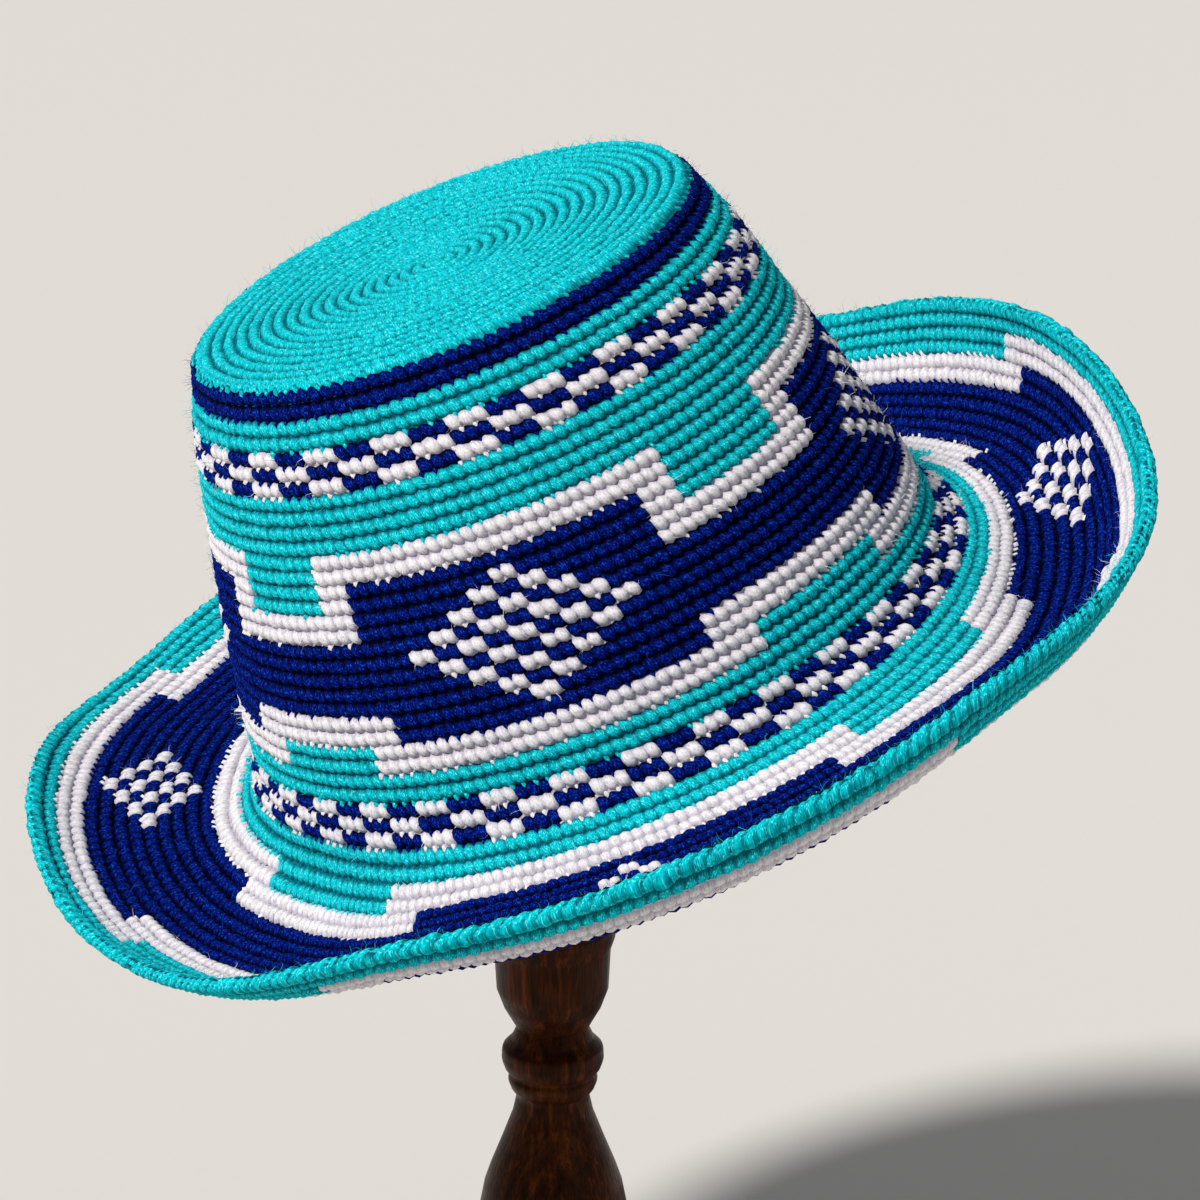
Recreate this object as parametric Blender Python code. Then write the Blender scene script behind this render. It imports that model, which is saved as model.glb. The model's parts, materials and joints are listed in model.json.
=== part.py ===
# Crocheted hat with a flat top, a tapered crown and a brim curled up all round,
# resting at a lean on a plain turned wooden stand.
# Metres, +Z up. The origin is the centre of the underside of the stand's foot.
import bpy
import math
from mathutils import Matrix, Vector

# ---------------------------------------------------------------- driving sizes
ROUND = 0.0037            # height of one crochet round along the fabric
WALL = 0.0036             # thickness of the crocheted fabric
GAP = 0.0003              # gap kept between neighbouring pieces
TOP_RADIUS = 0.0660       # radius of the crown where its side begins
TOP_RISE = 0.0018         # how far the flat top lies above that edge
TOP_BULGE = 0.0012        # soft rise of the top between centre and edge
TOP_DENT = 0.0022         # shallow dent in the top, back left
TOP_DENT_AT = 125.0       # direction of the dent, degrees round the crown

SHOULDER_ROUNDS = 11      # the plain and chequered rounds under the top end here
CROWN_ROUNDS = 26         # the stepped pattern of the crown's straight side ends here
BAND_ROUNDS = 32          # the chequered band turns out to the brim and ends here, at the head opening
INNER_ROUNDS = 39         # the brim's inner half ends here
BRIM_ROUNDS = 46          # the brim's last patterned round
RIM_ROUND = 48            # the edging ends here
EDGE_THICK = 0.0044       # thickness of the corded edge

# pose of the hat on the stand
PIVOT_ROUNDS = 20.2       # the hat's axis meets the stand's axis this far below the top's edge
PIVOT_HEIGHT = 0.290      # height of that point above the table
HAT_LEAN = 22.0           # lean of the hat, degrees
HAT_LEAN_TOWARDS = -166.7 # direction of the lean, degrees from +X
HAT_TURN = 7.7            # turn of the hat about its own axis, degrees

# the side of the crown: lean of its wall from the hat's axis, degrees
# (round, lean)
CROWN_SIDE = (
    (0, 17.5), (1, 21.5), (2.5, 24), (5, 16.5), (9, 14), (14, 15.5), (20, 12), (26, 10.5), (28, 14),
)
FLARE_FROM = 28           # below this round the lean differs round the hat

# the flare and the curl of the brim: lean of the fabric from the hat's axis, degrees
# (0 straight down, 90 level, 180 straight up), the same for every direction
# (round, lean)
ROLL = ((28, 14), (31, 42), (33, 64), (36, 84), (39, 100), (42, 115), (45, 130), (48, 145))
# places where the soft brim departs from that roll: direction, half width in degrees,
# and the change of lean at each of the LOBE_ROUNDS
LOBE_ROUNDS = (31, 36, 42, 48)
LOBES = (
    ("left side stands up early", 166, 29, (-8, 24, 0, 16)),
    ("left front flares late", 209, 38, (-32, -14, -10, -2)),
    ("front stays low, then curls tight", 272, 60, (4, 0, -22, 30)),
    ("right front flares late", 338, 42, (-6, -40, 14, -10)),
    ("right curls tight", 18, 42, (12, -6, 30, 28)),
    ("back stands up early", 75, 70, (8, 16, 6, -8)),
    ("back left stays open", 142, 44, (12, 12, -6, -36)),
)

# the stand's turned profile, measured down from the pivot: (depth, radius)
POST_RADIUS = 0.0090
SPINDLE = (
    ("cup lip", 0.1035, 0.0150), ("cup lip", 0.1068, 0.0167), ("cup lip", 0.1098, 0.0164),
    ("cup", 0.1134, 0.0152), ("cup", 0.1243, 0.0146), ("cup", 0.1293, 0.0128),
    ("neck", 0.1353, 0.0094), ("bead", 0.1385, 0.0108), ("bead", 0.1408, 0.0130),
    ("bead", 0.1437, 0.0134), ("bead", 0.1466, 0.0126), ("ring", 0.1480, 0.0112),
    ("ring", 0.1500, 0.0117), ("ring", 0.1522, 0.0110), ("neck", 0.1548, 0.0096),
    ("vase", 0.1594, 0.0106), ("vase", 0.1671, 0.0135), ("vase", 0.1749, 0.0166),
    ("vase", 0.1796, 0.0182), ("vase", 0.1853, 0.0193), ("vase", 0.1930, 0.0203),
    ("vase", 0.2030, 0.0200), ("vase", 0.2150, 0.0176), ("vase", 0.2270, 0.0142),
    ("neck", 0.2370, 0.0120), ("neck", 0.2440, 0.0116), ("foot ring", 0.2475, 0.0150),
    ("foot ring", 0.2510, 0.0182), ("foot ring", 0.2545, 0.0196),
)
FOOT_RADIUS = 0.0800      # foot disc
FOOT_HEIGHT = 0.0220
DOME_RADIUS = 0.0702      # the dome is a slice of a ball about the pivot
DOME_UNDERSIDE = 0.0300   # the dome's flat underside, above the pivot

HAT_SIDES = 60
STAND_SIDES = 24


# ---------------------------------------------------------------- helpers
def clear_scene():
    for obj in list(bpy.data.objects):
        bpy.data.objects.remove(obj, do_unlink=True)


def material(name, colour, roughness, metallic=0.0):
    mat = bpy.data.materials.new(name)
    mat.use_nodes = True
    bsdf = mat.node_tree.nodes["Principled BSDF"]
    bsdf.inputs["Base Color"].default_value = (*colour, 1.0)
    bsdf.inputs["Roughness"].default_value = roughness
    bsdf.inputs["Metallic"].default_value = metallic
    return mat


def piece(name, verts, faces, mat, sharp_deg=40.0):
    mesh = bpy.data.meshes.new(name)
    mesh.from_pydata(verts, [], faces)
    mesh.validate()
    mesh.materials.append(mat)
    mesh.shade_smooth()
    mesh.set_sharp_from_angle(angle=math.radians(sharp_deg))
    obj = bpy.data.objects.new(name, mesh)
    bpy.context.scene.collection.objects.link(obj)
    return obj


def interp(table, x):
    """Straight-line reading of a table of (position, value) rows."""
    if x <= table[0][0]:
        return table[0][1]
    for (xa, ya), (xb, yb) in zip(table, table[1:]):
        if x <= xb:
            return ya + (yb - ya) * (x - xa) / (xb - xa)
    return table[-1][1]


def lean_at(rounds, degrees):
    if rounds <= FLARE_FROM:
        return interp(CROWN_SIDE, rounds)
    lean = interp(ROLL, rounds)
    for _, at, half, change in LOBES:
        off = abs((degrees - at + 180.0) % 360.0 - 180.0)
        if off < half:
            table = [(FLARE_FROM, 0)] + list(zip(LOBE_ROUNDS, change))
            lean += math.cos(math.pi / 2 * off / half) ** 2 * interp(table, rounds)
    return lean


def section(degrees, steps=4):
    """The right side of the fabric in one half-plane through the hat's axis.
    Returns (round, radius, height, lean) every 1/steps of a round, from the top's edge to the rim."""
    r, z = TOP_RADIUS, 0.0
    out = [(0.0, r, z, lean_at(0.0, degrees))]
    step = 1.0 / steps
    for k in range(RIM_ROUND * steps):
        mid = math.radians(lean_at((k + 0.5) * step, degrees))
        r += math.sin(mid) * step * ROUND
        z -= math.cos(mid) * step * ROUND
        out.append(((k + 1) * step, r, z, lean_at((k + 1) * step, degrees)))
    return out


def fabric_loop(sec, rounds, thick, steps=4):
    """Closed outline of the fabric in one section: right side down, wrong side back up."""
    right, wrong = [], []
    for rnd in rounds:
        i = min(int(rnd * steps), len(sec) - 2)
        t = rnd * steps - i
        r = sec[i][1] * (1 - t) + sec[i + 1][1] * t
        z = sec[i][2] * (1 - t) + sec[i + 1][2] * t
        a = math.radians(sec[i][3] * (1 - t) + sec[i + 1][3] * t)
        right.append((r, z))
        wrong.append((r - thick * math.cos(a), z - thick * math.sin(a)))
    return right + wrong[::-1]


def ring_of_loops(loops, sides):
    """Closed ring made of one outline in each of its sections."""
    verts, faces = [], []
    n = len(loops[0])
    for k, loop in enumerate(loops):
        a = 2.0 * math.pi * k / sides
        verts += [(r * math.cos(a), r * math.sin(a), z) for r, z in loop]
    for k in range(sides):
        for i in range(n):
            a, b = k * n + i, k * n + (i + 1) % n
            c, d = ((k + 1) % sides) * n + (i + 1) % n, ((k + 1) % sides) * n + i
            if i == n - 1:      # the closing face is split like the face it meets on its neighbour
                faces += [(a, b, d), (b, c, d)]
            else:
                faces += [(a, b, c), (a, c, d)]
    return verts, faces


def turned(profile, sides):
    """Solid of revolution from (radius, height) points, top to bottom, closed at both ends."""
    verts, faces = [], []
    for r, z in profile:
        for k in range(sides):
            a = 2.0 * math.pi * k / sides
            verts.append((r * math.cos(a), r * math.sin(a), z))
    for j in range(len(profile) - 1):
        for k in range(sides):
            k2 = (k + 1) % sides
            faces.append((j * sides + k, (j + 1) * sides + k, (j + 1) * sides + k2, j * sides + k2))
    faces.append(tuple(range(sides)))
    faces.append(tuple((len(profile) - 1) * sides + k for k in reversed(range(sides))))
    return verts, faces


# ---------------------------------------------------------------- the hat, about its own axis
def hat_sections():
    return [section(360.0 * k / HAT_SIDES) for k in range(HAT_SIDES)]


def span(first, last, stops):
    """Rounds from first to last, with the given stops between them."""
    return [first] + [s for s in stops if first + 0.2 < s < last - 0.2] + [last]


def top_height(radius, degrees):
    """Height of the top's right side above its edge."""
    x = min(radius / TOP_RADIUS, 1.0)
    edge = 1.0 - max(0.0, (x - 0.955) / 0.045) ** 2
    bulge = TOP_BULGE * math.sin(math.pi * x ** 1.5) ** 2
    aim = math.cos(math.radians(degrees - TOP_DENT_AT))
    dent = TOP_DENT * max(0.0, aim) ** 2 * math.sin(math.pi * min(1.0, x)) ** 2
    return TOP_RISE * edge + (bulge - dent) * edge


def crown_top(mat):
    """Round top: a disc whose edge turns down to the first round of the side."""
    rings = (0.30, 0.55, 0.78, 0.94, 0.98, 1.0)
    sides = HAT_SIDES
    lean0 = math.radians(CROWN_SIDE[0][1])
    seat_r = TOP_RADIUS - WALL * math.cos(lean0)
    seat_z = -WALL * math.sin(lean0)
    verts = [(0, 0, top_height(0, 0))]
    for x in rings:
        for k in range(sides):
            deg = 360.0 * k / sides
            r = TOP_RADIUS * x
            a = math.radians(deg)
            verts.append((r * math.cos(a), r * math.sin(a), top_height(r, deg) + (GAP if x == 1.0 else 0)))
    under = (1.0, 0.93, 0.62, 0.30)
    for j, x in enumerate(under):
        for k in range(sides):
            deg = 360.0 * k / sides
            a = math.radians(deg)
            r = seat_r * x
            z = seat_z + GAP if j == 0 else top_height(r, deg) - WALL
            verts.append((r * math.cos(a), r * math.sin(a), z))
    verts.append((0, 0, top_height(0, 0) - WALL))
    faces = []
    rows = len(rings) + len(under)
    for k in range(sides):
        k2 = (k + 1) % sides
        faces.append((0, 1 + k, 1 + k2))
        for j in range(rows - 1):
            a = 1 + j * sides
            faces.append((a + k, a + sides + k, a + sides + k2, a + k2))
        a = 1 + (rows - 1) * sides
        faces.append((a + k, a + sides, a + k2))
    return piece("crown_top", verts, faces, mat)


def fabric_ring(name, sections, first, last, stops, mat):
    """One patterned band of the fabric, from its first round to its last."""
    start = first + GAP / ROUND if first else GAP / ROUND
    loops = [fabric_loop(s, span(start, last, stops), WALL) for s in sections]
    return piece(name, *ring_of_loops(loops, HAT_SIDES), mat)


def brim_edging(sections, mat):
    """The last two rounds end in a rounded cord that is thicker than the brim."""
    loops = []
    for sec in sections:
        flat = fabric_loop(sec, (BRIM_ROUNDS + GAP / ROUND, BRIM_ROUNDS + 0.9), WALL)
        (ra, za), (rb, zb), (rc, zc), (rd, zd) = flat
        end = sec[-1]
        lean = math.radians(end[3])
        along = (math.sin(lean), -math.cos(lean))
        across = (math.cos(lean), math.sin(lean))
        mid_r = end[1] - along[0] * EDGE_THICK / 2 - across[0] * WALL / 2
        mid_z = end[2] - along[1] * EDGE_THICK / 2 - across[1] * WALL / 2
        cord = []
        for step in range(6):
            a = math.radians(110.0 - 44.0 * step)
            cord.append((
                mid_r + EDGE_THICK / 2 * (math.cos(a) * along[0] + math.sin(a) * across[0]),
                mid_z + EDGE_THICK / 2 * (math.cos(a) * along[1] + math.sin(a) * across[1]),
            ))
        loops.append([(ra, za), (rb, zb)] + cord + [(rc, zc), (rd, zd)])
    return piece("brim_edging", *ring_of_loops(loops, HAT_SIDES), mat)


def hat_pose():
    toward = math.radians(HAT_LEAN_TOWARDS)
    hinge = Vector((-math.sin(toward), math.cos(toward), 0.0))
    return (
        Matrix.Translation((0.0, 0.0, PIVOT_HEIGHT))
        @ Matrix.Rotation(math.radians(HAT_LEAN), 4, hinge)
        @ Matrix.Rotation(math.radians(HAT_TURN), 4, "Z")
        @ Matrix.Translation((0.0, 0.0, PIVOT_ROUNDS * ROUND))
    )


# ---------------------------------------------------------------- the stand
def stand_dome(mat):
    """Slice of a ball, flat underneath with a rounded rim."""
    profile = []
    for k in range(9):
        a = math.radians(90.0 - 8.0 * k)
        profile.append((max(DOME_RADIUS * math.cos(a), 0.004), PIVOT_HEIGHT + DOME_RADIUS * math.sin(a)))
    low = PIVOT_HEIGHT + DOME_UNDERSIDE
    rim = math.sqrt(DOME_RADIUS ** 2 - (DOME_UNDERSIDE + 0.004) ** 2)
    profile += [(rim, low + 0.004), (rim - 0.001, low + 0.0015), (rim - 0.004, low)]
    return piece("stand_dome", *turned(profile, STAND_SIDES), mat)


def stand_spindle(mat):
    top = PIVOT_HEIGHT + DOME_UNDERSIDE - GAP
    bottom = FOOT_HEIGHT + GAP
    profile = [(POST_RADIUS + 0.006, top), (POST_RADIUS + 0.0055, top - 0.004), (POST_RADIUS, top - 0.009),
               (POST_RADIUS, PIVOT_HEIGHT - SPINDLE[0][1] + 0.010), (POST_RADIUS + 0.002, PIVOT_HEIGHT - SPINDLE[0][1] + 0.003)]
    profile += [(radius, PIVOT_HEIGHT - depth) for _, depth, radius in SPINDLE]
    profile.append((SPINDLE[-1][2], bottom))
    return piece("stand_spindle", *turned(profile, STAND_SIDES), mat, sharp_deg=50.0)


def stand_base(mat):
    profile = [
        (FOOT_RADIUS - 0.052, FOOT_HEIGHT), (FOOT_RADIUS - 0.046, FOOT_HEIGHT - 0.0012),
        (FOOT_RADIUS - 0.030, FOOT_HEIGHT - 0.0060), (FOOT_RADIUS - 0.014, FOOT_HEIGHT - 0.0092),
        (FOOT_RADIUS - 0.007, FOOT_HEIGHT - 0.0098), (FOOT_RADIUS - 0.0065, FOOT_HEIGHT - 0.0118),
        (FOOT_RADIUS - 0.002, FOOT_HEIGHT - 0.0130), (FOOT_RADIUS, FOOT_HEIGHT - 0.0155),
        (FOOT_RADIUS, 0.0030), (FOOT_RADIUS - 0.0015, 0.0),
    ]
    return piece("stand_base", *turned(profile, STAND_SIDES * 3 // 2), mat)


def build():
    clear_scene()
    turquoise = material("turquoise_yarn", (0.0, 0.60, 0.68), 0.92)
    shoulder_yarn = material("shoulder_yarn", (0.03, 0.30, 0.48), 0.92)
    patterned = material("patterned_yarn", (0.02, 0.07, 0.30), 0.92)
    band_yarn = material("band_yarn", (0.05, 0.20, 0.40), 0.92)
    brim_yarn = material("brim_yarn", (0.01, 0.04, 0.22), 0.92)
    outer_yarn = material("outer_yarn", (0.01, 0.04, 0.22), 0.92)
    edge_yarn = material("edge_yarn", (0.0, 0.50, 0.56), 0.92)
    wood = material("dark_wood", (0.045, 0.020, 0.010), 0.42)
    wood_foot = material("dark_wood_foot", (0.045, 0.020, 0.010), 0.42)
    wood_dome = material("dark_wood_dome", (0.050, 0.024, 0.012), 0.50)
    sections = hat_sections()
    hat = bpy.data.objects.new("hat_pose", None)
    bpy.context.scene.collection.objects.link(hat)
    hat.matrix_world = hat_pose()
    rings = (
        # name, first round, last round, rounds between, material
        ("crown_shoulder", 0, SHOULDER_ROUNDS, (1.2, 3, 5, 8), shoulder_yarn),
        ("crown_wall", SHOULDER_ROUNDS, CROWN_ROUNDS, (14, 17, 20, 23), patterned),
        ("crown_band", CROWN_ROUNDS, BAND_ROUNDS, (28, 29.5, 31), band_yarn),
        ("brim_inner", BAND_ROUNDS, INNER_ROUNDS, (33.5, 35, 37), brim_yarn),
        ("brim_outer", INNER_ROUNDS, BRIM_ROUNDS, (41, 43, 44.5), outer_yarn),
    )
    made = [fabric_ring(name, sections, first, last, stops, mat) for name, first, last, stops, mat in rings]
    for obj in [crown_top(turquoise), brim_edging(sections, edge_yarn)] + made:
        obj.parent = hat
    stand_dome(wood_dome)
    stand_spindle(wood)
    stand_base(wood_foot)


build()
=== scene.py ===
import bpy
import json
import math
import numpy as np
from mathutils import Matrix, Vector

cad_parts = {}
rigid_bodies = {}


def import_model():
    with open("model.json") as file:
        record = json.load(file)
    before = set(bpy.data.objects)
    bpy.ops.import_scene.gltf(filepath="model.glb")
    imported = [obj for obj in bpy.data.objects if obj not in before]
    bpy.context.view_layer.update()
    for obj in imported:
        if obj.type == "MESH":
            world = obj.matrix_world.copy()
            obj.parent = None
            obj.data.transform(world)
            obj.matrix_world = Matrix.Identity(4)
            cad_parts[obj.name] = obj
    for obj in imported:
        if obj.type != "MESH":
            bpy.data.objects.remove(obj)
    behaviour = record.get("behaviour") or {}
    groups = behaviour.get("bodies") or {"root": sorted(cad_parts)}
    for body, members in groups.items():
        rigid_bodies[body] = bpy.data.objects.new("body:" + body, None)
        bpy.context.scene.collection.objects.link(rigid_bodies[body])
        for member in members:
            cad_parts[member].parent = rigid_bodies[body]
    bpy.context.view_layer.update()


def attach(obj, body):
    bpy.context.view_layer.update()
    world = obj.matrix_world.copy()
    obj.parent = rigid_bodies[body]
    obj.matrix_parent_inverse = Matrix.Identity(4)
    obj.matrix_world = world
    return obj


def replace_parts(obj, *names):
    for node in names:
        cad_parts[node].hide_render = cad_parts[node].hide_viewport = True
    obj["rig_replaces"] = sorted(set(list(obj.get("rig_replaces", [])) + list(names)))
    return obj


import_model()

rng = np.random.default_rng(11)

# ------------------------------------------------------------ sizes shared with the solids
ROUND, WALL, EDGE_THICK = 0.0037, 0.0036, 0.0044
TOP_RADIUS, TOP_RISE, TOP_BULGE, TOP_DENT, TOP_DENT_AT = 0.0660, 0.0018, 0.0012, 0.0022, 125.0
RIM_ROUND, FLARE_FROM = 48, 28
PIVOT_ROUNDS, PIVOT_HEIGHT, HAT_LEAN, HAT_LEAN_TOWARDS, HAT_TURN = 20.2, 0.290, 22.0, -166.7, 7.7
CROWN_SIDE = ((0, 17.5), (1, 21.5), (2.5, 24), (5, 16.5), (9, 14), (14, 15.5), (20, 12), (26, 10.5), (28, 14))
ROLL = ((28, 14), (31, 42), (33, 64), (36, 84), (39, 100), (42, 115), (45, 130), (48, 145))
LOBE_ROUNDS = (31, 36, 42, 48)
LOBES = (
    ("left side stands up early", 166, 29, (-8, 24, 0, 16)),
    ("left front flares late", 209, 38, (-32, -14, -10, -2)),
    ("front stays low, then curls tight", 272, 60, (4, 0, -22, 30)),
    ("right front flares late", 338, 42, (-6, -40, 14, -10)),
    ("right curls tight", 18, 42, (12, -6, 30, 28)),
    ("back stands up early", 75, 70, (8, 16, 6, -8)),
    ("back left stays open", 142, 44, (12, 12, -6, -36)),
)
SPINDLE = (
    (0.1035, 0.0150), (0.1068, 0.0167), (0.1098, 0.0164), (0.1134, 0.0152), (0.1243, 0.0146), (0.1293, 0.0128),
    (0.1353, 0.0094), (0.1385, 0.0108), (0.1408, 0.0130), (0.1437, 0.0134), (0.1466, 0.0126), (0.1480, 0.0112),
    (0.1500, 0.0117), (0.1522, 0.0110), (0.1548, 0.0096), (0.1594, 0.0106), (0.1671, 0.0135), (0.1749, 0.0166),
    (0.1796, 0.0182), (0.1853, 0.0193), (0.1930, 0.0203), (0.2030, 0.0200), (0.2150, 0.0176), (0.2270, 0.0142),
    (0.2370, 0.0120), (0.2440, 0.0116), (0.2475, 0.0150), (0.2510, 0.0182), (0.2545, 0.0196),
)

TURQ, NAVY, WHITE = 0, 1, 2
COLOURS = ("turquoise", "navy", "white")

# rounds with the same number of stitches: (first, last, stitches, direction of the first stitch)
STITCHES = (
    (1, 2, 126, 198.4), (3, 4, 132, 198.4), (5, 7, 138, 197.3), (8, 9, 146, 198.4), (10, 11, 154, 198.4),
    (12, 24, 164, 198.4), (25, 28, 180, 200.0), (29, 31, 192, 199.1), (32, 33, 216, 198.4), (34, 35, 240, 198.4),
    (36, 36, 264, 198.4), (37, 43, 300, 198.4), (44, 48, 312, 198.4),
)
# stepped lines of the crown, in stitches from the first: (low from, leg, leg, low to) in each repeat
CROWN_STEPS = ((0, 3, 12, 15), (40, 43, 54, 57), (82, 85, 95, 98), (123, 126, 136, 139))
CROWN_LOWER = ((0, 16), (40, 59), (82, 99), (123, 140))
CROWN_LOWER_GAPS = ((3, 14), (47, 61), (92, 104), (137, 149))
CROWN_DIAMONDS = (28, 70, 111, 150)
# stepped lines of the brim, in degrees: inner line (white, turquoise inside), outer line (white, turquoise inside)
BRIM_STEPS = (
    (193.3, 234.2, 196.7, 226.9, 190.3, 238.0, 195.8, 232.0),
    (290.9, 336.3, 295.3, 325.0, 290.0, 339.1, 296.0, 333.0),
    (378.0, 420.0, 384.0, 414.0, 380.0, 420.0, 382.5, 415.0),
    (463.0, 506.0, 469.0, 500.0, 464.0, 504.2, 469.0, 500.0),
)
BRIM_DIAMONDS = (263.1, 363.0, 442.0, 525.6)


# ------------------------------------------------------------ the fabric's surface
def interp(table, x):
    if x <= table[0][0]:
        return table[0][1]
    for (xa, ya), (xb, yb) in zip(table, table[1:]):
        if x <= xb:
            return ya + (yb - ya) * (x - xa) / (xb - xa)
    return table[-1][1]


def lean_at(rounds, degrees):
    if rounds <= FLARE_FROM:
        return interp(CROWN_SIDE, rounds)
    lean = interp(ROLL, rounds)
    for _, at, half, change in LOBES:
        off = abs((degrees - at + 180.0) % 360.0 - 180.0)
        if off < half:
            table = [(FLARE_FROM, 0)] + list(zip(LOBE_ROUNDS, change))
            lean += math.cos(math.pi / 2 * off / half) ** 2 * interp(table, rounds)
    return lean


def surface_grid(steps=4):
    grid = np.zeros((360, RIM_ROUND * steps + 1, 3))
    for d in range(360):
        r, z, step = TOP_RADIUS, 0.0, 1.0 / steps
        for k in range(RIM_ROUND * steps + 1):
            grid[d, k] = (r, z, math.radians(lean_at(k * step, d)))
            mid = math.radians(lean_at((k + 0.5) * step, d))
            r += math.sin(mid) * step * ROUND
            z -= math.cos(mid) * step * ROUND
    return grid


GRID = surface_grid()


def fabric_point(s, deg, off):
    """Points at round s and direction deg, lying off metres outside the right side."""
    d = np.mod(deg, 360.0)
    i = np.floor(d).astype(int) % 360
    t = (d - np.floor(d))[..., None]
    j = (i + 1) % 360
    inside = np.clip(s, 0.0, RIM_ROUND - 1e-6)
    k = np.floor(inside * 4).astype(int)
    u = (inside * 4 - k)[..., None]
    a = (GRID[i, k] * (1 - t) + GRID[j, k] * t) * (1 - u) + (GRID[i, k + 1] * (1 - t) + GRID[j, k + 1] * t) * u
    r, z, lean = a[..., 0], a[..., 1], a[..., 2]
    beyond = (s - inside) * ROUND
    r = r + np.sin(lean) * beyond + np.cos(lean) * off
    z = z - np.cos(lean) * beyond + np.sin(lean) * off
    ph = np.radians(deg)
    return np.stack([r * np.cos(ph), r * np.sin(ph), z], -1)


def top_height(radius, degrees):
    x = np.minimum(radius / TOP_RADIUS, 1.0)
    edge = 1.0 - np.maximum(0.0, (x - 0.955) / 0.045) ** 2
    bulge = TOP_BULGE * np.sin(np.pi * x ** 1.5) ** 2
    aim = np.cos(np.radians(degrees - TOP_DENT_AT))
    dent = TOP_DENT * np.maximum(0.0, aim) ** 2 * np.sin(np.pi * x) ** 2
    return TOP_RISE * edge + (bulge - dent) * edge


def top_point(radius, deg, off):
    ph = np.radians(deg)
    return np.stack([radius * np.cos(ph), radius * np.sin(ph), top_height(np.abs(radius), deg) + off], -1)


def row_centre(n, deg):
    """The rounds wander a little up and down round the hat."""
    sway = np.where(n <= 31, 0.25 + 0.35 * n / 31.0, np.maximum(0.0, 0.60 * (35 - n) / 4.0))
    return n - 0.60 + np.sin(np.radians(deg - 265.0)) * sway


# ------------------------------------------------------------ the chart
def inside_any(values, spans, turn=360.0):
    hit = np.zeros(len(values), bool)
    for a, b in spans:
        for k in (-turn, 0.0, turn):
            hit |= (values >= a + k) & (values < b + k)
    return hit


def diamond(n, middle, reach, centres, index, count):
    """Blocks of two stitches; a round at distance d from the middle has reach + 1 - d of them."""
    d = abs(n - middle)
    hit = np.zeros(len(index), bool)
    if d > reach:
        return hit
    for c in centres:
        for b in range(reach + 1 - d):
            start = c - 1 - 2 * (reach - d) + 4 * b
            hit |= ((index - start) % count) < 2
    return hit


def chart(n, count, first):
    idx = np.arange(count)
    deg = first + (idx + 0.5) * 360.0 / count
    col = np.full(count, NAVY)
    if n in (3, 4, 27, 28, 32, 33, 47, 48) or 8 <= n <= 11:
        col[:] = TURQ
    elif 5 <= n <= 7:
        col = np.where((idx // 3) % 2 == (0 if n != 6 else 1), WHITE, NAVY)
    elif 29 <= n <= 31:
        col = np.where((idx // 3) % 2 == (0 if n != 30 else 1), WHITE, NAVY)
    elif 12 <= n <= 24:
        pocket = inside_any(idx, [(b, c) for _, b, c, _ in CROWN_STEPS], count)
        low = inside_any(idx, [(a, d) for a, _, _, d in CROWN_STEPS], count)
        if n <= 13:
            col = np.where(pocket, TURQ, WHITE)
        elif n <= 15:
            col = np.where(pocket, TURQ, np.where(low, WHITE, NAVY))
        elif n <= 17:
            col = np.where(low, WHITE, NAVY)
        elif n >= 23:
            col = np.where(inside_any(idx, CROWN_LOWER, count), WHITE, NAVY)
        col[diamond(n, 19, 4, CROWN_DIAMONDS, idx, count)] = WHITE
    elif n in (25, 26):
        col = np.where(inside_any(idx, CROWN_LOWER_GAPS, count), TURQ, WHITE)
    elif n in (34, 35):
        col = np.where(inside_any(deg, [(b[2], b[3]) for b in BRIM_STEPS]), TURQ, WHITE)
    elif n in (36, 37):
        col = np.where(inside_any(deg, [(b[0], b[1]) for b in BRIM_STEPS]), WHITE, NAVY)
    elif n in (43, 44):
        col = np.where(inside_any(deg, [(b[4], b[5]) for b in BRIM_STEPS]), WHITE, NAVY)
    elif n in (45, 46):
        col = np.where(inside_any(deg, [(b[6], b[7]) for b in BRIM_STEPS]), TURQ, WHITE)
    if 37 <= n <= 43:
        centres = [round((c - first) * count / 360.0) for c in BRIM_DIAMONDS]
        col[diamond(n, 40, 3, centres, idx, count)] = WHITE
    return col


ROWS = {}
for first_n, last_n, count, start in STITCHES:
    for n in range(first_n, last_n + 1):
        ROWS[n] = (count, start, chart(n, count, start))


def colour_at(n, deg):
    count, start, col = ROWS[n]
    return col[(np.floor((deg - start) * count / 360.0).astype(int)) % count]


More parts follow.
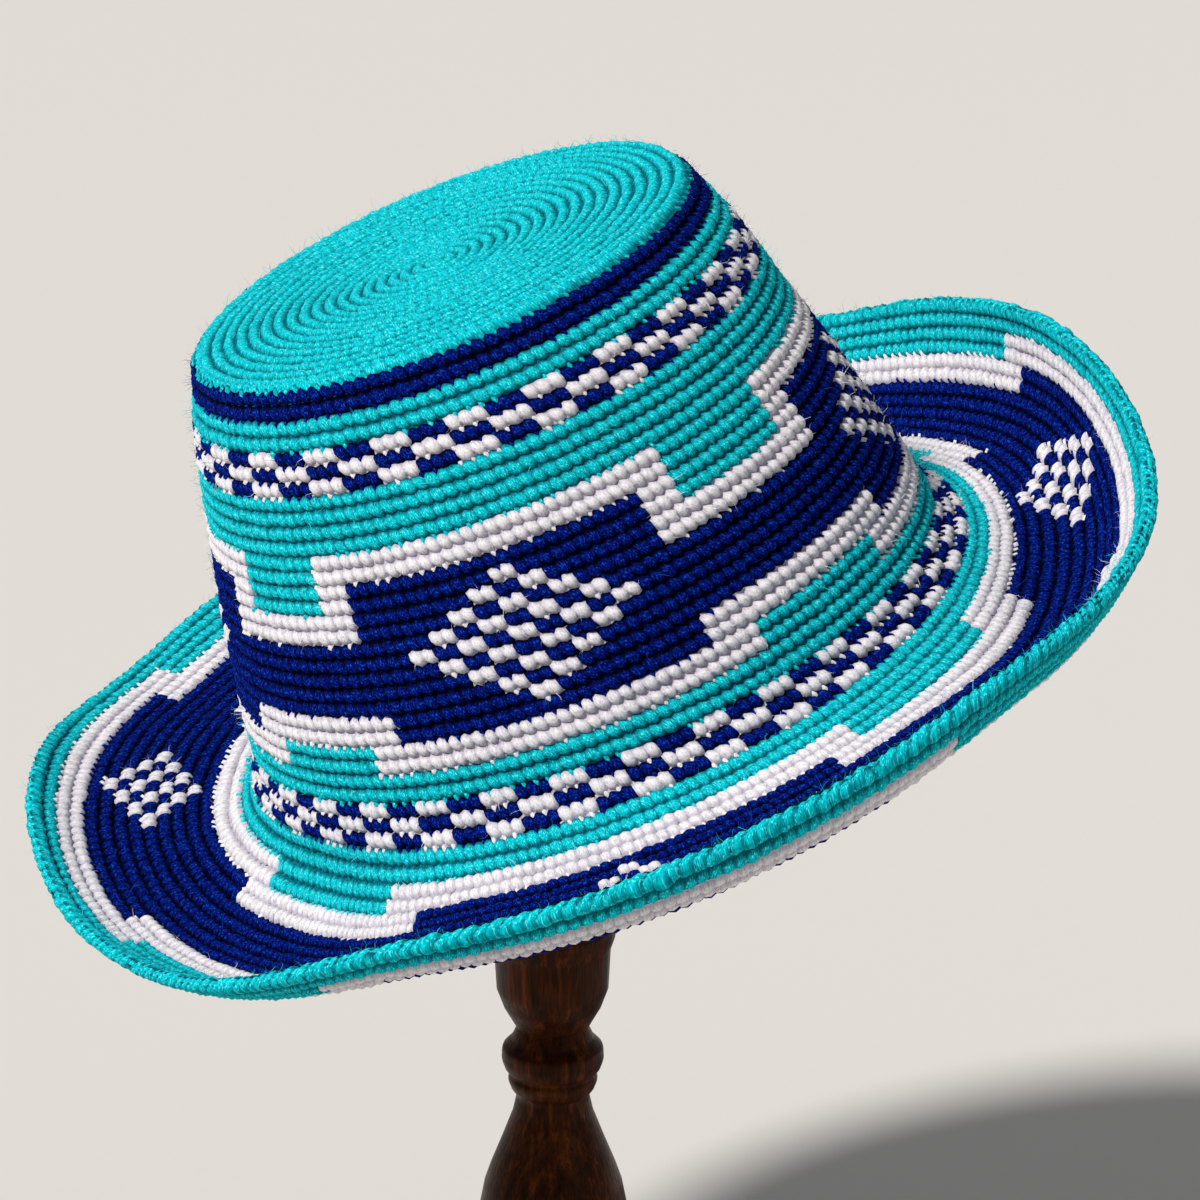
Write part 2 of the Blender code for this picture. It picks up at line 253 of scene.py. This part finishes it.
# ------------------------------------------------------------ stitches as meshes
class Heap:
    """Vertices, faces, fibre directions and painted-shade weights of many small bodies of one yarn."""

    def __init__(self):
        self.v, self.f, self.uv, self.deep, self.n = [], [], [], [], 0

    def add(self, verts, uvs, quads, deep=0.0):
        count, per = verts.shape[:2]
        self.deep.append((np.zeros((count, per)) + deep).ravel())
        base = self.n + np.arange(count)[:, None, None] * per
        self.f.append(np.where(quads[None] < 0, -1, quads[None] + base).reshape(-1, 4))
        self.v.append(verts.reshape(-1, 3))
        self.uv.append(uvs.reshape(-1, 2))
        self.n += count * per

    def build(self, name, mat):
        v = np.vstack(self.v)
        f = np.vstack(self.f)
        uv = np.vstack(self.uv)
        tri = f[:, 3] < 0
        sizes = np.where(tri, 3, 4)
        loops = f.ravel()[np.stack([np.ones(len(f), bool)] * 3 + [~tri], 1).ravel()]
        mesh = bpy.data.meshes.new(name)
        mesh.vertices.add(len(v))
        mesh.vertices.foreach_set("co", v.ravel())
        mesh.loops.add(len(loops))
        mesh.loops.foreach_set("vertex_index", loops.astype(np.int32))
        mesh.polygons.add(len(f))
        mesh.polygons.foreach_set("loop_start", np.concatenate([[0], np.cumsum(sizes)[:-1]]).astype(np.int32))
        layer = mesh.uv_layers.new(name="yarn")
        layer.data.foreach_set("uv", uv[loops].ravel())
        layer = mesh.uv_layers.new(name="deep")
        deep = np.concatenate(self.deep)[loops]
        layer.data.foreach_set("uv", np.stack([deep, deep], 1).ravel())
        mesh.update(calc_edges=True)
        mesh.shade_smooth()
        mesh.materials.append(mat)
        obj = bpy.data.objects.new(name, mesh)
        bpy.context.scene.collection.objects.link(obj)
        return obj


def dome_template(segs, rings, flip):
    """Grid of a low dome: (rho, angle) of each vertex and its faces, -1 marking a triangle."""
    rho, ang, quads = [0.0], [0.0], []
    for r in rings:
        for k in range(segs):
            rho.append(r)
            ang.append(2 * math.pi * k / segs)
    for k in range(segs):
        k2 = (k + 1) % segs
        quads.append((0, 1 + k2, 1 + k, -1))
        for j in range(len(rings) - 1):
            a = 1 + j * segs
            quads.append((a + k, a + k2, a + segs + k2, a + segs + k))
    q = np.array(quads)
    if flip:
        q = np.array([(a, c, b, -1) if d < 0 else (a, d, c, b) for a, b, c, d in quads])
    return np.array(rho), np.array(ang), q


FINE = dome_template(8, (0.42, 0.76, 1.0), False)
PLAIN = dome_template(8, (0.60, 1.0), True)
SMALL = dome_template(6, (1.0,), False)
#          reach along the round, reach across it, slant, height, foot, sharpness
SHAPES = {TURQ: (0.80, 0.60, 0.34, 0.00150, -0.00112, 2.3),
          NAVY: (0.74, 0.59, 0.36, 0.00158, -0.00114, 2.4),
          WHITE: (0.70, 0.62, 0.32, 0.00165, -0.00112, 2.9)}


def stitches(place, s, deg, width_deg, width_m, template, shape, side=1.0, lift=0.0, scale=1.0, high=ROUND):
    """Beans laid on the fabric: one at each (s, deg)."""
    reach_u, reach_v, slant, height, foot, sharp = shape
    rho, ang, quads = template
    n = len(s)
    size = 1.0 + rng.normal(0, 0.045, n)[:, None]
    turn = rng.normal(0, 0.07, n)[:, None]
    v = reach_v * rho * np.sin(ang) * size * scale
    u = reach_u * rho * np.cos(ang) * size * scale * (1 - 0.20 * np.sin(ang) * rho)
    u = u + (slant + turn) * v
    v = v + rng.normal(0, 0.025, n)[:, None]
    up = foot + height * (1 - rho ** sharp) * size + lift + rng.normal(0, 0.00008, n)[:, None]
    p = place(s[:, None] + v, deg[:, None] + u * width_deg, side * up if side > 0 else -(WALL + up))
    shift = rng.uniform(0, 400, (n, 1))
    uv = np.stack([(u - slant * v) * width_m * 1000 + shift, v * high * 1000 + shift * 0.37], -1)
    # rho also goes out as the painted-shade weight: 0 at a bean's middle and 1 at its foot, where the shade between
    # stitches is painted.
    return p, uv, quads, rho


HEAPS = {}


def heap(part, colour):
    return HEAPS.setdefault((part, COLOURS[colour]), Heap())


def wide_at(n, deg):
    p = fabric_point(np.asarray([n - 0.5]), np.asarray([deg]), np.zeros(1))
    return float(np.hypot(p[0, 0], p[0, 1]))


def PART_OF(n):
    return "shoulder" if n <= 11 else "crown" if n <= 26 else "band" if n <= 32 else "inner" if n <= 39 else "outer" if n <= 46 else "edging"


fibre_roots = []       # (heap key, points, outward directions)
for n, (count, start, col) in ROWS.items():
    part = PART_OF(n)
    deg = start + (np.arange(count) + 0.5) * 360.0 / count
    s = row_centre(n, deg)
    wdeg = 360.0 / count
    radius = wide_at(n, 270.0)
    wm = radius * math.radians(wdeg)
    flat = 0.74 if n >= 32 else 1.0
    for c in (TURQ, NAVY, WHITE):
        m = col == c
        if not m.any():
            continue
        shape = list(SHAPES[c])
        shape[3] *= flat
        shape[4] *= flat
        heap(part, c).add(*stitches(fabric_point, s[m], deg[m], wdeg, wm, FINE, shape))
        heap(part + "_wrong", c).add(*stitches(fabric_point, s[m], deg[m], wdeg, wm, PLAIN, SHAPES[NAVY], side=-1.0, lift=-0.0003))
        root = fabric_point(s[m], deg[m], np.full(m.sum(), 0.0002))
        out = fabric_point(s[m], deg[m], np.full(m.sum(), 0.0012)) - root
        fibre_roots.append(((part, c), root, out / 0.001))
    # yarn of the round above dips into this round between its stitches
    if n > 0:
        above = colour_at(n - 1, deg + wdeg * 0.5) if n > 1 else np.full(count, TURQ)
        chance = 0.30 if 15 < n < 24 or 37 < n < 44 else 0.72
        for c in (TURQ, NAVY, WHITE):
            m = (above == c) & (col != c) & (rng.random(count) < chance)
            if m.any():
                k = int(m.sum())
                heap(part, c).add(*stitches(fabric_point, s[m] - 0.40 + rng.normal(0, 0.04, k), deg[m] + wdeg * 0.42, wdeg, wm, SMALL,
                                            (0.26, 0.40, 0.5, 0.0013, -0.0010, 2.0)))

# flat top: one long spiral of stitches
pitch = 0.00335
turns = (TOP_RADIUS - 0.0006) / pitch
theta, path = [], 0.35
while path < turns + 1.0:        # the last turn closes the edge
    theta.append(path)
    path += 0.0031 / (2 * math.pi * max(pitch * path, 0.002))
theta = np.array(theta)
top_r = np.minimum(pitch * theta - pitch * 0.5, TOP_RADIUS - 0.0020)
top_deg = np.mod(-theta * 360.0 + 200.0, 360.0)


def on_top(s, deg, off):
    return top_point(np.maximum(s * pitch, 0.0002), deg, off)


top_wdeg = np.degrees(0.0031 / np.maximum(top_r, 0.0015))
rho, ang, quads = FINE
for part, template, side in (("top", FINE, 1.0), ("top_wrong", PLAIN, -1.0)):
    rows_u = top_wdeg[:, None]
    heap(part, TURQ).add(*stitches(on_top, top_r / pitch, top_deg, rows_u, 0.0031, template,
                                   (0.95, 0.60, 0.45, 0.00175, -0.00140, 2.0), side=side, high=pitch))
fibre_roots.append((("top", TURQ), top_point(top_r, top_deg, 0.0001), np.tile([0.0, 0.0, 1.0], (len(top_r), 1))))

# corded edge: a loop of yarn goes over the rim at every stitch
count, start, _ = ROWS[48]
deg = start + np.arange(count) * 360.0 / count
segs, lats = 8, 6
verts, uvs, quads = [], [], []
t = np.linspace(0, math.pi, lats + 1)
for j in range(lats + 1):
    for k in range(segs):
        a = 2 * math.pi * k / segs
        along = math.cos(t[j])                      # over the rim, from wrong side to right side
        width = math.sin(t[j]) ** 0.7
        verts.append((along, width * math.cos(a), width * math.sin(a)))
verts = np.array(verts)
for j in range(lats):
    for k in range(segs):
        k2 = (k + 1) % segs
        quads.append((j * segs + k, (j + 1) * segs + k, (j + 1) * segs + k2, j * segs + k2))
quads = np.array(quads)
jig = 1 + rng.normal(0, 0.06, (count, 1))
off = -WALL / 2 + verts[None, :, 0] * (EDGE_THICK / 2 - 0.0003) * jig
step_deg = 360.0 / count
dd = deg[:, None] + rng.normal(0, 0.10, (count, 1)) * step_deg + verts[None, :, 1] * step_deg * 0.88 * jig + verts[None, :, 0] * step_deg * 0.50
ss = RIM_ROUND - 0.56 + rng.normal(0, 0.05, (count, 1)) + verts[None, :, 2] * 0.56 * jig
edge = fabric_point(ss, dd, off)
# Painted shade: each loop is darkened towards its sides, where it meets its neighbours, and a little towards the ends
# where it enters the fabric on both faces.
heap("edging", TURQ).add(edge, np.stack([verts[None, :, 1] * 1.6 + rng.uniform(0, 300, (count, 1)),
                                         verts[None, :, 0] * 2.5 + np.zeros((count, 1))], -1), quads,
                           0.35 + 0.45 * np.abs(verts[:, 1]) + 0.15 * np.abs(verts[:, 0]))
fibre_roots.append((("edging", TURQ), fabric_point(np.full(count, RIM_ROUND - 0.1), deg, np.full(count, -0.0015)),
                    fabric_point(np.full(count, RIM_ROUND + 0.9), deg, np.full(count, -0.0015))
                    - fabric_point(np.full(count, RIM_ROUND - 0.1), deg, np.full(count, -0.0015))))

# loose fibres: short fine ribbons that stand off the yarn
for (part, c), root, out in fibre_roots:
    out = out / np.maximum(np.linalg.norm(out, axis=1, keepdims=True), 1e-9)
    k = np.flatnonzero(rng.random(len(root)) < (0.9 if part in ("top", "edging") else 0.75))
    for _ in range(2):
        m = len(k)
        if not m:
            continue
        spread = rng.normal(0, 1, (m, 3))
        spread /= np.linalg.norm(spread, axis=1, keepdims=True)
        d1 = out[k] * rng.uniform(0.4, 1.0, (m, 1)) + spread * 0.8
        d1 /= np.linalg.norm(d1, axis=1, keepdims=True)
        d2 = d1 + rng.normal(0, 0.6, (m, 3))
        d2 /= np.linalg.norm(d2, axis=1, keepdims=True)
        length = rng.uniform(0.0012, 0.0042, (m, 1))
        a = root[k] + rng.normal(0, 0.0008, (m, 3)) * (1 - np.abs(out[k]))
        b = a + d1 * length * 0.55
        e = b + d2 * length * 0.45
        w = np.cross(d1, rng.normal(0, 1, (m, 3)))
        w /= np.maximum(np.linalg.norm(w, axis=1, keepdims=True), 1e-9)
        w *= 0.000042
        pts = np.stack([a - w, a + w, b - w * 0.8, b + w * 0.8, e], 1)
        heap(part, c).add(pts, np.zeros((m, 5, 2)) + rng.uniform(0, 300, (m, 1, 1)), np.array([(0, 1, 3, 2), (2, 3, 4, -1)]))


# ------------------------------------------------------------ materials
def nodes_of(name):
    mat = bpy.data.materials.new(name)
    mat.use_nodes = True
    tree = mat.node_tree
    return mat, tree, tree.nodes["Principled BSDF"]


def link(tree, a, b):
    tree.links.new(a, b)


def noise(tree, vector, scale, detail=2.0, rough=0.5):
    n = tree.nodes.new("ShaderNodeTexNoise")
    n.inputs["Scale"].default_value = scale
    n.inputs["Detail"].default_value = detail
    n.inputs["Roughness"].default_value = rough
    link(tree, vector, n.inputs["Vector"])
    return n.outputs["Fac"]


def ramp(tree, fac, *stops):
    r = tree.nodes.new("ShaderNodeValToRGB")
    while len(r.color_ramp.elements) < len(stops):
        r.color_ramp.elements.new(0.5)
    for e, (at, colour) in zip(r.color_ramp.elements, stops):
        e.position = at
        e.color = (*colour, 1.0)
    link(tree, fac, r.inputs["Fac"])
    return r.outputs["Color"]


def scaled(tree, vector, scale):
    m = tree.nodes.new("ShaderNodeMapping")
    m.inputs["Scale"].default_value = scale
    link(tree, vector, m.inputs["Vector"])
    return m.outputs["Vector"]


def mix(tree, kind, fac, a, b):
    m = tree.nodes.new("ShaderNodeMix")
    m.data_type = "RGBA"
    m.blend_type = kind
    for socket, value in ((m.inputs[0], fac), (m.inputs[6], a), (m.inputs[7], b)):
        if isinstance(value, (int, float)):
            socket.default_value = value
        elif isinstance(value, tuple):
            socket.default_value = (*value, 1.0)
        else:
            link(tree, value, socket)
    return m.outputs[2]


def add_maths(tree, op, a, b):
    m = tree.nodes.new("ShaderNodeMath")
    m.operation = op
    for i, value in enumerate((a, b)):
        if isinstance(value, (int, float)):
            m.inputs[i].default_value = value
        else:
            link(tree, value, m.inputs[i])
    return m.outputs[0]


def yarn(name, shade, body, light, fleck, fleck_from, sheen, painted_groove_shade):
    """Spun yarn: fibres run along the stitch, with pale flecks and a soft nap, and painted shade that darkens each
    stitch towards its foot.
    """
    mat, tree, bsdf = nodes_of(name)
    coord = tree.nodes.new("ShaderNodeTexCoord")
    uv, place = coord.outputs["UV"], coord.outputs["Object"]
    strands = noise(tree, scaled(tree, uv, (2.6, 0.75, 1.0)), 1.0, 3.0, 0.6)
    hairs = noise(tree, scaled(tree, uv, (7.5, 1.7, 1.0)), 1.0, 2.0, 0.6)
    both = add_maths(tree, "MULTIPLY_ADD", strands, 0.6)
    both.node.inputs[2].default_value = 0.0
    total = add_maths(tree, "ADD", both, add_maths(tree, "MULTIPLY", hairs, 0.4))
    colour = ramp(tree, total, (0.36, shade), (0.50, body), (0.64, light))
    drift = ramp(tree, noise(tree, place, 55.0, 2.0), (0.3, (0.88, 0.90, 0.92)), (0.7, (1.0, 1.0, 1.0)))
    colour = mix(tree, "MULTIPLY", 1.0, colour, drift)
    spots = ramp(tree, noise(tree, scaled(tree, uv, (4.2, 1.3, 1.0)), 1.0, 1.0), (fleck_from, (0, 0, 0)), (fleck_from + 0.07, (1, 1, 1)))
    colour = mix(tree, "MIX", spots, colour, fleck)
    # Painted shade: the colour is multiplied darker towards each stitch's foot. This stands in for the shade in the
    # grooves between stitches and rounds.
    deep = tree.nodes.new("ShaderNodeUVMap")
    deep.uv_map = "deep"
    split = tree.nodes.new("ShaderNodeSeparateXYZ")
    link(tree, deep.outputs["UV"], split.inputs[0])
    colour = mix(tree, "MULTIPLY", 1.0, colour, ramp(tree, split.outputs["X"], (0.46, (1.0, 1.0, 1.0)), (0.88, painted_groove_shade)))
    link(tree, colour, bsdf.inputs["Base Color"])
    bump = tree.nodes.new("ShaderNodeBump")
    bump.inputs["Strength"].default_value = 0.90
    bump.inputs["Distance"].default_value = 0.00060
    link(tree, total, bump.inputs["Height"])
    link(tree, bump.outputs["Normal"], bsdf.inputs["Normal"])
    bsdf.inputs["Roughness"].default_value = 0.86
    bsdf.inputs["Specular IOR Level"].default_value = 0.03
    bsdf.inputs["Sheen Weight"].default_value = sheen
    bsdf.inputs["Sheen Roughness"].default_value = 0.45
    bsdf.inputs["Sheen Tint"].default_value = (*light, 1.0)
    return mat


# The last colour of each yarn is its painted groove shade.
YARNS = {
    "turquoise": yarn("turquoise_yarn", (0.0, 0.19, 0.23), (0.0, 0.50, 0.58), (0.0, 0.72, 0.80), (0.10, 0.90, 0.93), 0.58, 0.0, (0.22, 0.26, 0.30)),
    "navy": yarn("navy_yarn", (0.0003, 0.0006, 0.018), (0.0005, 0.0036, 0.115), (0.0010, 0.012, 0.28), (0.005, 0.08, 0.58), 0.59, 0.0, (0.08, 0.06, 0.08)),
    "white": yarn("white_yarn", (0.50, 0.47, 0.49), (0.82, 0.78, 0.80), (0.93, 0.90, 0.91), (0.95, 0.93, 0.94), 0.70, 0.10, (0.66, 0.64, 0.72)),
}


def wood(name, along=(420.0, 420.0, 16.0), fine=(1500.0, 1500.0, 90.0)):
    """Dark stained hardwood, satin, with streaks along the grain and rubbed patches."""
    mat, tree, bsdf = nodes_of(name)
    place = tree.nodes.new("ShaderNodeTexCoord").outputs["Object"]
    streaks = noise(tree, scaled(tree, place, along), 1.0, 4.0, 0.65)
    pores = noise(tree, scaled(tree, place, fine), 1.0, 2.0, 0.6)
    rubs = noise(tree, place, 38.0, 3.0, 0.6)
    colour = ramp(tree, streaks, (0.32, (0.005, 0.0010, 0.0002)), (0.52, (0.030, 0.0054, 0.0008)), (0.70, (0.105, 0.024, 0.0034)))
    worn = ramp(tree, rubs, (0.56, (0.0, 0.0, 0.0)), (0.74, (0.40, 0.40, 0.40)))
    colour = mix(tree, "MIX", worn, colour, (0.150, 0.044, 0.008))
    dark = ramp(tree, pores, (0.34, (0.35, 0.35, 0.35)), (0.46, (1.0, 1.0, 1.0)))
    colour = mix(tree, "MULTIPLY", 1.0, colour, dark)
    link(tree, colour, bsdf.inputs["Base Color"])
    gloss = ramp(tree, rubs, (0.30, (0.30, 0.30, 0.30)), (0.75, (0.52, 0.52, 0.52)))
    link(tree, gloss, bsdf.inputs["Roughness"])
    bump = tree.nodes.new("ShaderNodeBump")
    bump.inputs["Strength"].default_value = 0.44
    bump.inputs["Distance"].default_value = 0.0003
    link(tree, add_maths(tree, "ADD", streaks, pores), bump.inputs["Height"])
    link(tree, bump.outputs["Normal"], bsdf.inputs["Normal"])
    bsdf.inputs["Coat Weight"].default_value = 0.03
    bsdf.inputs["Coat Roughness"].default_value = 0.22
    bsdf.inputs["Coat Tint"].default_value = (1.0, 0.72, 0.45, 1.0)
    bsdf.inputs["Specular IOR Level"].default_value = 0.10
    bsdf.inputs["Specular Tint"].default_value = (1.0, 0.62, 0.36, 1.0)
    return mat


# ------------------------------------------------------------ build the hat's pieces
toward = math.radians(HAT_LEAN_TOWARDS)
POSE = (Matrix.Translation((0, 0, PIVOT_HEIGHT))
        @ Matrix.Rotation(math.radians(HAT_LEAN), 4, Vector((-math.sin(toward), math.cos(toward), 0)))
        @ Matrix.Rotation(math.radians(HAT_TURN), 4, "Z")
        @ Matrix.Translation((0, 0, PIVOT_ROUNDS * ROUND)))


def backing(name, first, last, off_right, off_wrong):
    """Close weave behind the stitches, in the colours of the chart, on both sides of the fabric, darkened all over with
    painted shade as the shade behind the stitches.
    """
    cols = 240
    stops = np.arange(first, last + 1e-6, 0.5)
    verts, faces, mats = [], [], []
    deg = np.arange(cols) * 360.0 / cols
    for off in (off_right, off_wrong):
        base = len(verts) * cols
        for s in stops:
            verts.append(fabric_point(np.full(cols, s), deg, np.full(cols, off)))
        ks = np.arange(cols)
        k2 = (ks + 1) % cols
        for i, s in enumerate(stops[:-1]):
            n = int(np.clip(round(s + 0.25 + 0.60), 1, 48))
            c = colour_at(n, deg + 0.75)
            a, b = base + i * cols + ks, base + i * cols + k2
            d, e = base + (i + 1) * cols + ks, base + (i + 1) * cols + k2
            quad = np.stack([a, d, e, b], 1) if off == off_right else np.stack([a, b, e, d], 1)
            faces.append(quad)
            mats.append(c)
    mesh = bpy.data.meshes.new(name)
    mesh.from_pydata(np.vstack(verts).tolist(), [], np.vstack(faces).tolist())
    for c in COLOURS:
        mesh.materials.append(YARNS[c])
    mesh.polygons.foreach_set("material_index", np.concatenate(mats).astype(np.int32))
    layer = mesh.uv_layers.new(name="yarn")
    co = np.vstack(verts)
    loops = np.zeros(len(mesh.loops), np.int32)
    mesh.loops.foreach_get("vertex_index", loops)
    layer.data.foreach_set("uv", (co[loops][:, [0, 2]] * 1000.0).ravel())
    # The backing takes the full painted shade of each yarn.
    mesh.uv_layers.new(name="deep").data.foreach_set("uv", np.ones(len(loops) * 2, np.float32))
    mesh.shade_smooth()
    obj = bpy.data.objects.new(name, mesh)
    bpy.context.scene.collection.objects.link(obj)
    return obj


def hat_piece(obj, node, slot):
    obj.data.transform(POSE)
    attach(obj, "root")
    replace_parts(obj, node)


NODE = {"shoulder": ("crown_shoulder", "patterned_yarn"), "crown": ("crown_wall", "patterned_yarn"), "band": ("crown_band", "patterned_yarn"),
        "inner": ("brim_inner", "brim_yarn"), "outer": ("brim_outer", "brim_yarn"),
        "top": ("crown_top", "turquoise_yarn"), "edging": ("brim_edging", "edge_yarn")}
for (part, colour), pile in HEAPS.items():
    node, slot = NODE[part.split("_")[0]]
    hat_piece(pile.build(f"{part}_stitches_{colour}", YARNS[colour]), node, slot)
for name, first, last in (("shoulder", 0.0, 11.0), ("crown", 11.0, 26.0), ("band", 26.0, 32.0), ("inner", 32.0, 39.0), ("outer", 39.0, 46.0), ("edging", 46.0, 47.5)):
    hat_piece(backing(name + "_backing", first, last, -0.0010, -WALL + 0.0010), *NODE[name])

# backing of the flat top
cols, stops = 120, np.linspace(0.0004, TOP_RADIUS, 24)
deg = np.arange(cols) * 360.0 / cols
verts, faces = [], []
for off in (-0.0009, -WALL + 0.0010):
    base = len(verts) * cols
    for r in stops:
        verts.append(top_point(np.full(cols, r), deg, off))
    for i in range(len(stops) - 1):
        for k in range(cols):
            k2 = (k + 1) % cols
            q = (base + i * cols + k, base + (i + 1) * cols + k, base + (i + 1) * cols + k2, base + i * cols + k2)
            faces.append(q if off > -0.002 else q[::-1])
mesh = bpy.data.meshes.new("top_backing")
mesh.from_pydata(np.vstack(verts).tolist(), [], faces)
mesh.materials.append(YARNS["turquoise"])
mesh.uv_layers.new(name="yarn")
# The top's backing also takes the full painted shade.
mesh.uv_layers.new(name="deep").data.foreach_set("uv", np.ones(len(mesh.loops) * 2, np.float32))
mesh.shade_smooth()
top_back = bpy.data.objects.new("top_backing", mesh)
bpy.context.scene.collection.objects.link(top_back)
hat_piece(top_back, "crown_top", "turquoise_yarn")


# ------------------------------------------------------------ the stand, finely turned
def smooth_profile(points, per=6):
    """A curve through (radius, height) points that keeps its corners tight."""
    out = []
    for i in range(len(points) - 1):
        p0, p1 = points[max(i - 1, 0)], points[i]
        p2, p3 = points[i + 1], points[min(i + 2, len(points) - 1)]
        for k in range(per):
            t = k / per
            out.append(tuple(
                0.5 * (2 * b + (c - a) * t * 0.9 + (2 * a - 5 * b + 4 * c - d) * t * t + (3 * b - 3 * c + d - a) * t ** 3)
                if abs(p2[1] - p1[1]) + abs(p2[0] - p1[0]) < 0.004 else b + (c - b) * (t * t * (3 - 2 * t) * 0.3 + t * 0.7)
                for a, b, c, d in zip(p0, p1, p2, p3)))
    out.append(points[-1])
    return out


def turned_piece(name, profile, node, mat, sides=96):
    verts, faces = [], []
    for r, z in profile:
        for k in range(sides):
            a = 2 * math.pi * k / sides
            verts.append((r * math.cos(a), r * math.sin(a), z))
    for j in range(len(profile) - 1):
        for k in range(sides):
            k2 = (k + 1) % sides
            faces.append((j * sides + k, (j + 1) * sides + k, (j + 1) * sides + k2, j * sides + k2))
    faces.append(tuple(range(sides)))
    faces.append(tuple((len(profile) - 1) * sides + k for k in reversed(range(sides))))
    mesh = bpy.data.meshes.new(name)
    mesh.from_pydata(verts, [], faces)
    mesh.materials.append(mat)
    mesh.shade_smooth()
    mesh.set_sharp_from_angle(angle=math.radians(38))
    obj = bpy.data.objects.new(name, mesh)
    bpy.context.scene.collection.objects.link(obj)
    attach(obj, "root")
    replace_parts(obj, node)
    return obj


oak = wood("dark_stained_wood")
oak_foot = wood("dark_stained_wood_foot", (12.0, 260.0, 260.0), (70.0, 1100.0, 1100.0))
P = PIVOT_HEIGHT
spindle = [(0.0150, P + 0.0297), (0.0145, P + 0.0257), (0.0090, P + 0.0207), (0.0090, P - 0.0935), (0.0110, P - 0.1005)]
spindle += [(r, P - d) for d, r in SPINDLE] + [(0.0196, 0.0223)]
turned_piece("stand_spindle_turned", smooth_profile(spindle), "stand_spindle", oak)
R = 0.0800
foot = [(0.028, 0.0220), (0.034, 0.0208), (0.050, 0.0160), (0.066, 0.0128), (0.073, 0.0122), (0.0735, 0.0102),
        (0.078, 0.0090), (0.080, 0.0065), (0.080, 0.0030), (0.0785, 0.0)]
turned_piece("stand_foot_turned", smooth_profile(foot), "stand_base", oak_foot)
dome = [(max(0.0702 * math.cos(math.radians(90 - 8 * k)), 0.0004), P + 0.0702 * math.sin(math.radians(90 - 8 * k))) for k in range(9)]
rim = math.sqrt(0.0702 ** 2 - 0.034 ** 2)
dome += [(rim, P + 0.034), (rim - 0.001, P + 0.0315), (rim - 0.004, P + 0.0300)]
turned_piece("stand_dome_turned", smooth_profile(dome), "stand_dome", oak)

# ------------------------------------------------------------ floor, light and camera
mesh = bpy.data.meshes.new("floor")
mesh.from_pydata([(-9, -9, 0), (9, -9, 0), (9, 9, 0), (-9, 9, 0)], [], [(0, 1, 2, 3)])
floor = bpy.data.objects.new("floor", mesh)
bpy.context.scene.collection.objects.link(floor)
mat, tree, bsdf = nodes_of("pale_floor")
bsdf.inputs["Base Color"].default_value = (0.60, 0.58, 0.55, 1)
bsdf.inputs["Roughness"].default_value = 0.9
mesh.materials.append(mat)


def area(name, where, aim, size, watts, colour):
    data = bpy.data.lights.new(name, "AREA")
    data.shape = "DISK"
    data.size = size
    data.energy = watts
    data.color = colour
    obj = bpy.data.objects.new(name, data)
    obj.location = where
    obj.rotation_euler = (Vector(aim) - Vector(where)).to_track_quat("-Z", "Y").to_euler()
    bpy.context.scene.collection.objects.link(obj)


data = bpy.data.lights.new("key", "SUN")
data.energy = 4.2
data.angle = math.radians(8.0)
data.color = (1.0, 0.975, 0.94)
key = bpy.data.objects.new("key", data)
key.rotation_euler = Vector((1.10, 0.98, -1.62)).to_track_quat("-Z", "Y").to_euler()
bpy.context.scene.collection.objects.link(key)
area("fill", (1.6, -1.3, 0.9), (0, 0, 0.26), 1.6, 2.5, (0.92, 0.96, 1.0))
world = bpy.data.worlds.new("studio")
world.use_nodes = True
world.node_tree.nodes["Background"].inputs["Color"].default_value = (0.95, 0.96, 1.0, 1)
world.node_tree.nodes["Background"].inputs["Strength"].default_value = 0.28
bpy.context.scene.world = world
bpy.context.scene.view_settings.view_transform = "Standard"

cam = bpy.data.cameras.new("camera")
cam.lens, cam.sensor_width = 135.0, 36.0
cam.dof.use_dof = False
eye = bpy.data.objects.new("camera", cam)
eye.location = (0.012354, -1.087948, 0.614205)
eye.rotation_euler = (math.radians(72.5), 0.0, 0.0)
bpy.context.scene.collection.objects.link(eye)
bpy.context.scene.camera = eye
bpy.context.view_layer.update()

total = 0
for o in bpy.data.objects:
    if o.type == "MESH" and o.get("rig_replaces"):
        tris = sum(len(p.vertices) - 2 for p in o.data.polygons)
        total += tris
        print("piece", o.name, tris)
print("all pieces", total)
